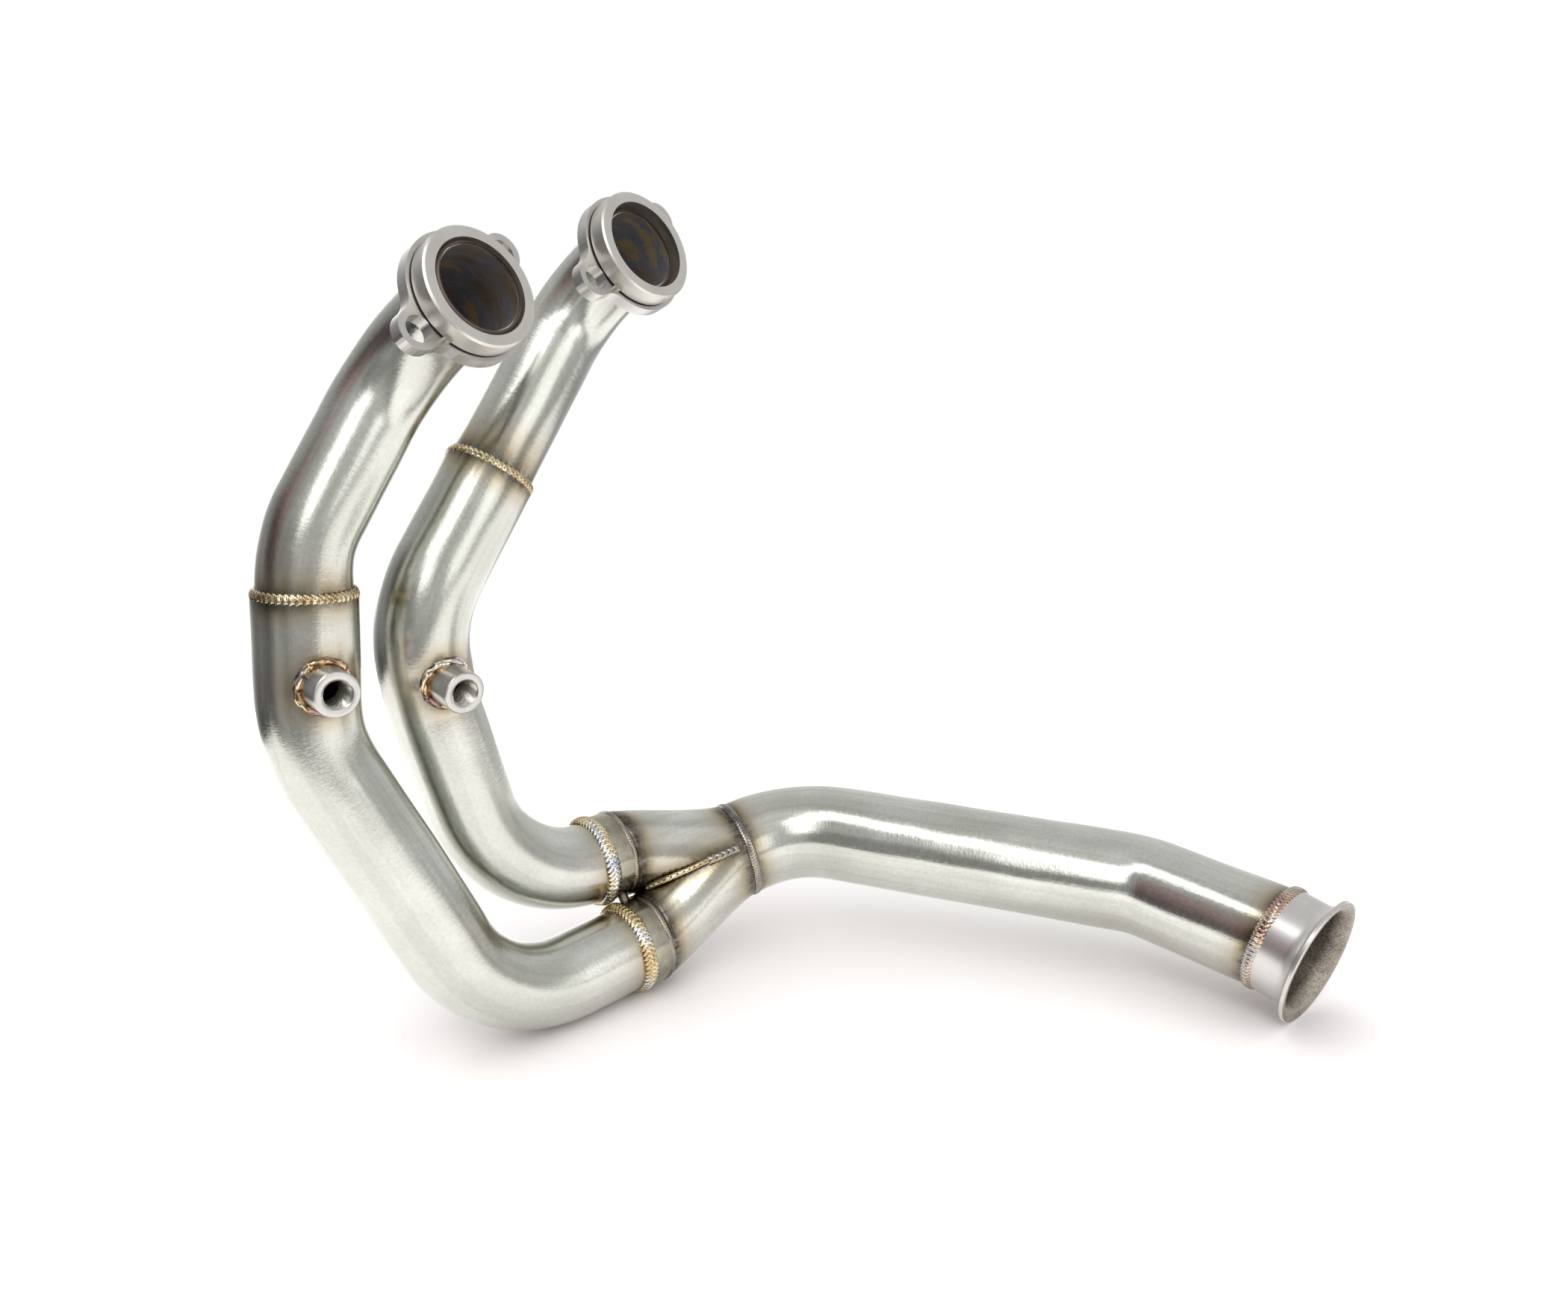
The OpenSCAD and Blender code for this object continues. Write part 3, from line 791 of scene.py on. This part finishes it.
dark_bead = bead_tree(bead_metal("dark_bead", [
    (0.34, (0.15, 0.14, 0.13, 1)), (0.46, (0.30, 0.29, 0.27, 1)),
    (0.56, (0.42, 0.37, 0.27, 1)), (0.68, (0.28, 0.27, 0.29, 1))]))

left_joint = left_rows[2] @ shift(0, 0, LEFT_JOINT)
right_joint = right_rows[3] @ shift(0, 0, RIGHT_JOINT)
joint_run = {"radius": 2.5, "flat": 0.5, "pitch": 2.5, "height": 0.65, "uneven": 0.2}
sleeve_run = {"radius": 3.4, "flat": 0.55, "pitch": 2.5, "height": 1.0, "uneven": 0.4}
seam_run = {"radius": 1.3, "flat": 0.45, "pitch": 1.4, "height": 0.2, "uneven": 0.2}
outlet_run = {"radius": 2.3, "flat": 0.6, "pitch": 1.6, "height": 0.22, "uneven": 0.3}
ferrule_run = {"radius": 2.9, "flat": 0.5, "pitch": 2.1, "height": 0.65, "uneven": 0.3}
# the frame of each ring, its radius, its place along the frame, seed, colours and sizes
for name, node, m, radius, z, seed, tree, run in (
    ("left_joint_bead", "left_joint_weld", left_joint, 19.5, 1.0, 1.0, gold_bead, joint_run),
    ("right_joint_bead", "right_joint_weld", right_joint, 19.5, 1.0, 2.0, gold_bead, joint_run),
    ("left_sleeve_bead", "left_sleeve_weld", left_leg, 21.2, 13.1, 3.0, silver_bead, sleeve_run),
    ("right_sleeve_bead", "right_sleeve_weld", right_leg, 21.2, 13.1, 4.0, silver_bead, sleeve_run),
    ("left_seam_bead", "left_leg_seam", left_leg, 21.9, 0.4, 5.0, dark_bead, seam_run),
    ("right_seam_bead", "right_leg_seam", right_leg, 21.9, 0.4, 6.0, dark_bead, seam_run),
    ("outlet_seam_bead", "collector_outlet_weld", collector, 24.7, 1.0, 7.0, dark_bead, outlet_run),
    ("ferrule_bead", "ferrule_weld", ferrule, 24.7, -1.0, 8.0, copper_bead, ferrule_run),
):
    across = m.to_3x3() @ Vector((0, 0, 1))
    lay_bead(name, node, circle(m, radius, z), True, across, seed, tree, run)

SADDLE_R = 10.2
SADDLE_LIFT = 0.2
boss_run = {"radius": 1.8, "flat": 0.0, "pitch": 7.0, "height": 0.45, "uneven": 1.3}
for side, m, seed in (("left", left_boss, 9.0), ("right", right_boss, 10.0)):
    saddle = []
    for a in (2 * math.pi * k / 120 for k in range(120)):
        x, y = SADDLE_R * math.cos(a), SADDLE_R * math.sin(a)
        saddle.append(m @ Vector((x, y, math.sqrt((LOWER_R + SADDLE_LIFT) ** 2 - y * y))))
    across = m.to_3x3() @ Vector((0, 0, 1))
    lay_bead(
        side + "_boss_bead", side + "_boss_weld", saddle, True, across, seed, boss_bead, boss_run)


def valley(t, up):
    """height of the line where both shells meet, t from the outlet to the inlets"""
    r = LINK_R - (LINK_R - SLEEVE_R) * t
    x = INLET_GAP / 2 * t
    sag = math.tan(math.radians(LEG_DROP)) * 6 * t * (1 - t)
    return up * math.sqrt(max(0.0, r * r - x * x)) + sag


# a thin rod melted into the valley between the shells, with a blob where the torch stopped
crotch_run = {"radius": 1.5, "flat": 0.0, "pitch": 3.2, "height": 0.25, "uneven": 0.4}
blob_run = {**crotch_run, "radius": 2.4}
across = collector.to_3x3() @ Vector((1, 0, 0))
for name, node, up, begin, end, seed, tree, run in (
    ("crotch_bead_top", "crotch_weld_top", -1, 0.88, 0.26, 11.0, gold_bead, crotch_run),
    ("crotch_blob_top", None, -1, 0.36, 0.08, 13.0, dark_bead, blob_run),
    ("crotch_bead_bottom", "crotch_weld_bottom", 1, 0.88, 0.26, 12.0, gold_bead, crotch_run),
    ("crotch_blob_bottom", None, 1, 0.36, 0.08, 14.0, dark_bead, blob_run),
):
    ways = [begin + (end - begin) * k / 24 for k in range(25)]
    points = [collector @ Vector((0, valley(t, up), -CONE_LEN * t)) for t in ways]
    lay_bead(name, node, points, False, across, seed, tree, run)

# ---- Sensor bosses ----
# Turned stainless bungs with an M12 x 1.25 thread, set on the lower pipes
# and welded round the foot. Left open, with no plug.
BOSS_TOP = LOWER_R + 15
THREAD_PITCH = 1.25
THREAD_R = 5.45
THREAD_DEPTH = 0.62


def boss_mesh(name, m):
    turn = [2 * math.pi * k / AROUND for k in range(AROUND)]

    def foot(r, a):
        return math.sqrt(LOWER_R**2 - (r * math.sin(a)) ** 2) - 0.3

    rows = [[(BOSS_R, foot(BOSS_R, a)) for a in turn]]
    for r, below_top in ((BOSS_R, 0.8), (9.4, 0.5), (9.0, 0.06), (8.85, 0), (6.6, 0), (6.4, 0.1)):
        rows.append([(r, BOSS_TOP - below_top)] * AROUND)
    steps = 11 * 10
    for k in range(steps + 1):
        ring = []
        for a in turn:
            low = foot(5.6, a)
            z = BOSS_TOP - 0.7 + (low - BOSS_TOP + 0.7) * k / steps
            part = (z / THREAD_PITCH - a / (2 * math.pi)) % 1.0
            ring.append((THREAD_R + THREAD_DEPTH * abs(2 * part - 1) ** 0.8, z))
        rows.append(ring)
    places = [
        (r * math.cos(a), r * math.sin(a), z) for ring in rows for a, (r, z) in zip(turn, ring)]
    faces = []
    for k in range(len(rows)):
        for j in range(AROUND):
            a, b = k * AROUND + j, k * AROUND + (j + 1) % AROUND
            c, d = (n % (len(rows) * AROUND) for n in (b + AROUND, a + AROUND))
            faces.append((a, b, c, d))
    mesh = bpy.data.meshes.new(name)
    mesh.from_pydata(places, [], faces)
    add_attribute(mesh, "lay", "FLOAT_VECTOR", places)
    mesh.polygons.foreach_set("use_smooth", [True] * len(faces))
    mesh.set_sharp_from_angle(angle=math.radians(28))
    mesh.transform(m)
    return mesh


def turned_steel(name, bright, straw_below):
    """lathe rings, and straw heat colour under a height over the pipe's axis"""
    material, v, shader = new_material(name)
    lay = v.node("ShaderNodeAttribute", {"attribute_name": "lay"}, {}, "Vector")
    across = lay.scaled((1, 1, 0)).length()
    height = lay.z()
    rings = v.node("ShaderNodeCombineXYZ", {}, {0: across * 3.0, 2: height * 3.0})
    rings = rings.grain(1.0, 4.0, 0.7)
    cloud = lay.grain(0.3, 3.0)
    foot = (height + cloud * 3).rise(straw_below + 3, straw_below)
    colour = cloud.mixed(bright, tuple(0.86 * c for c in bright[:3]) + (1,))
    colour = foot.mixed(colour, (0.42, 0.28, 0.16, 1))
    feed(shader, {
        "Metallic": 1.0,
        "Base Color": across.rise(6.5, 6.1).mixed(colour, (0.50, 0.48, 0.44, 1)),
        "Roughness": rings * 0.22 + 0.16,
        "Normal": v.node(
            "ShaderNodeBump", {}, {"Strength": 0.25, "Distance": 0.0002, "Height": rings}),
    })
    return material


boss_steel = turned_steel("turned_boss", (0.55, 0.535, 0.51, 1), 24.0)
for side, m in (("left", left_boss), ("right", right_boss)):
    name = side + "_boss_bung"
    finish_piece(name, boss_mesh(name, m), [boss_steel], "boss", side + "_sensor_boss")

# ---- Outlet ferrule ----
# A short band pressed into a trumpet flare and butt welded to the link pipe.
# Bead blasted, so it is greyer than the pipes, with a grainy heat-stained bore.
FERRULE_LEN = 20.5
MOUTH_R = 31.25
BAND = 12.0
SHEET = 1.6


def ferrule_mesh(name):
    """both walls are a straight band and a quarter ellipse out to the mouth"""
    r0 = LINK_R + 0.6
    grow = MOUTH_R - r0
    steps = 24
    bends = [math.radians(90 * k / steps) for k in range(steps + 1)]
    outer = [(r0, z) for z in (0.0, 0.5, 3.0, 6.0)]
    outer += [(r0 + grow * (1 - math.cos(a)), BAND + (FERRULE_LEN - SHEET - BAND) * math.sin(a))
              for a in bends]
    outer[-1] = (MOUTH_R, FERRULE_LEN - SHEET)
    lip = [(MOUTH_R, FERRULE_LEN - 0.4), (MOUTH_R - 0.4, FERRULE_LEN)]
    start = BAND + SHEET / 2
    inner = [(r0 - SHEET + grow * (1 - math.cos(a)), start + (FERRULE_LEN - start) * math.sin(a))
             for a in reversed(bends)]
    inner += [(r0 - SHEET, z) for z in (6.0, 3.0, 0.0)]
    profile = outer + lip + inner
    count = 160
    places = []
    for r, z in profile:
        for k in range(count):
            a = 2 * math.pi * k / count
            places.append((r * math.cos(a), r * math.sin(a), z))
    faces = []
    wall_of = []
    for i in range(len(profile)):
        for j in range(count):
            a, b = i * count + j, i * count + (j + 1) % count
            c, d = (n % (len(profile) * count) for n in (b + count, a + count))
            faces.append((a, b, c, d))
            wall_of.append(0 if i < len(outer) + 1 else 1)
    mesh = bpy.data.meshes.new(name)
    mesh.from_pydata(places, [], faces)
    add_attribute(mesh, "lay", "FLOAT_VECTOR", places)
    mesh.polygons.foreach_set("material_index", wall_of)
    mesh.polygons.foreach_set("use_smooth", [True] * len(faces))
    mesh.set_sharp_from_angle(angle=math.radians(40))
    mesh.transform(ferrule)
    return mesh


def blasted_steel(name, light, dark, rough, pitted):
    """fine pits over faint spinning lines; pitted 0 to 1 brings the pits out"""
    material, v, shader = new_material(name)
    lay = v.node("ShaderNodeAttribute", {"attribute_name": "lay"}, {}, "Vector")
    pits = lay.grain(1.1, 4.0, 0.75)
    cloud = lay.grain(0.06, 3.0, 0.6)
    lines = v.node("ShaderNodeCombineXYZ", {}, {2: lay.z() * 3.0}).grain(1.0, 4.0, 0.7)
    blotches = cloud * (1 - pitted) + pits * pitted
    feed(shader, {
        "Metallic": 1.0,
        "Base Color": blotches.rise(0.36, 0.64).mixed(dark, light),
        "Roughness": pits * 0.14 + lines * 0.08 + rough,
        "Normal": v.node("ShaderNodeBump", {}, {
            "Strength": 0.15 + 0.4 * pitted, "Distance": 0.0003,
            "Height": pits * (0.4 + pitted) + lines * 0.3}),
    })
    return material


outside = blasted_steel(
    "blasted_ferrule", (0.62, 0.605, 0.585, 1), (0.54, 0.525, 0.505, 1), 0.22, 0.1)
inside = blasted_steel(
    "stained_flare", (0.40, 0.365, 0.31, 1), (0.13, 0.11, 0.09, 1), 0.32, 0.7)
finish_piece(
    "outlet_flare", ferrule_mesh("outlet_flare"), [outside, inside], "ferrule", "outlet_ferrule")

# ---- Port collars, flanges and sleeves ----
# A turned collar on each port end, a plate with two stud holes held behind it
# by two tacks, and the turned sleeves at the collector. All keep their CAD shape.
COLLAR_H = 8.5


def machined(name, m, light, dark, rough, tool, depth=0.25):
    """steel with tool marks in the piece's own frame: rings on turned faces,
    strokes down a cut edge"""
    material, v, shader = new_material(name)
    place = v.node("ShaderNodeTexCoord", {}, {}, "Object")
    local = v.node(
        "ShaderNodeMapping", {"vector_type": "TEXTURE"},
        {"Vector": place, "Location": m.translation / 1000, "Rotation": m.to_euler(),
         "Scale": (0.001, 0.001, 0.001)})
    across = local.scaled((1, 1, 0)).length()
    rings = v.node("ShaderNodeCombineXYZ", {}, {0: across * 2.4, 2: local.z() * 2.4})
    rings = rings.grain(1.0, 4.0, 0.7)
    strokes = local.scaled((1.6, 1.6, 0.05)).grain(1.0, 4.0, 0.7)
    marks = rings if tool == "rings" else strokes * 0.7 + rings * 0.3
    cloud = local.grain(0.08, 3.0)
    shade = cloud * (1.0 - 1.6 * depth) + marks * (1.6 * depth)
    feed(shader, {
        "Metallic": 1.0,
        "Base Color": shade.rise(0.3, 0.7).mixed(dark, light),
        "Roughness": marks * (0.88 * depth) + rough,
        "Normal": v.node(
            "ShaderNodeBump", {}, {"Strength": depth, "Distance": 0.0002, "Height": marks}),
    })
    return material


def repaint(node, material):
    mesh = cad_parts[node].data
    mesh.materials.clear()
    mesh.materials.append(material)


left_collar = left_rows[4] @ shift(0, 0, left_table[4][0] - COLLAR_H)
right_collar = right_rows[4] @ shift(0, 0, right_table[4][0] - COLLAR_H)
for side, m, leg in (("left", left_collar, left_leg), ("right", right_collar, right_leg)):
    repaint(side + "_port_collar", machined(
        side + "_collar_steel", m, (0.635, 0.615, 0.575, 1), (0.555, 0.535, 0.495, 1),
        0.24, "rings"))
    repaint(side + "_port_flange", machined(
        side + "_flange_steel", m, (0.62, 0.605, 0.585, 1), (0.50, 0.485, 0.465, 1),
        0.2, "strokes"))
    tack = machined(
        side + "_tack_steel", m, (0.52, 0.495, 0.45, 1), (0.38, 0.35, 0.30, 1), 0.25, "strokes")
    for node in ("_flange_tack_1", "_flange_tack_2"):
        repaint(side + node, tack)
    repaint(side + "_collar_weld", machined(
        side + "_groove_steel", m, (0.16, 0.13, 0.11, 1), (0.07, 0.055, 0.05, 1), 0.4, "rings"))
    repaint(side + "_inlet_sleeve", machined(
        side + "_sleeve_steel", leg, (0.40, 0.375, 0.30, 1), (0.21, 0.19, 0.145, 1), 0.16, "rings",
        depth=0.06))
repaint("bridge_tack", machined(
    "bridge_tack_steel", collector, (0.24, 0.19, 0.15, 1), (0.12, 0.09, 0.08, 1), 0.25, "strokes"))
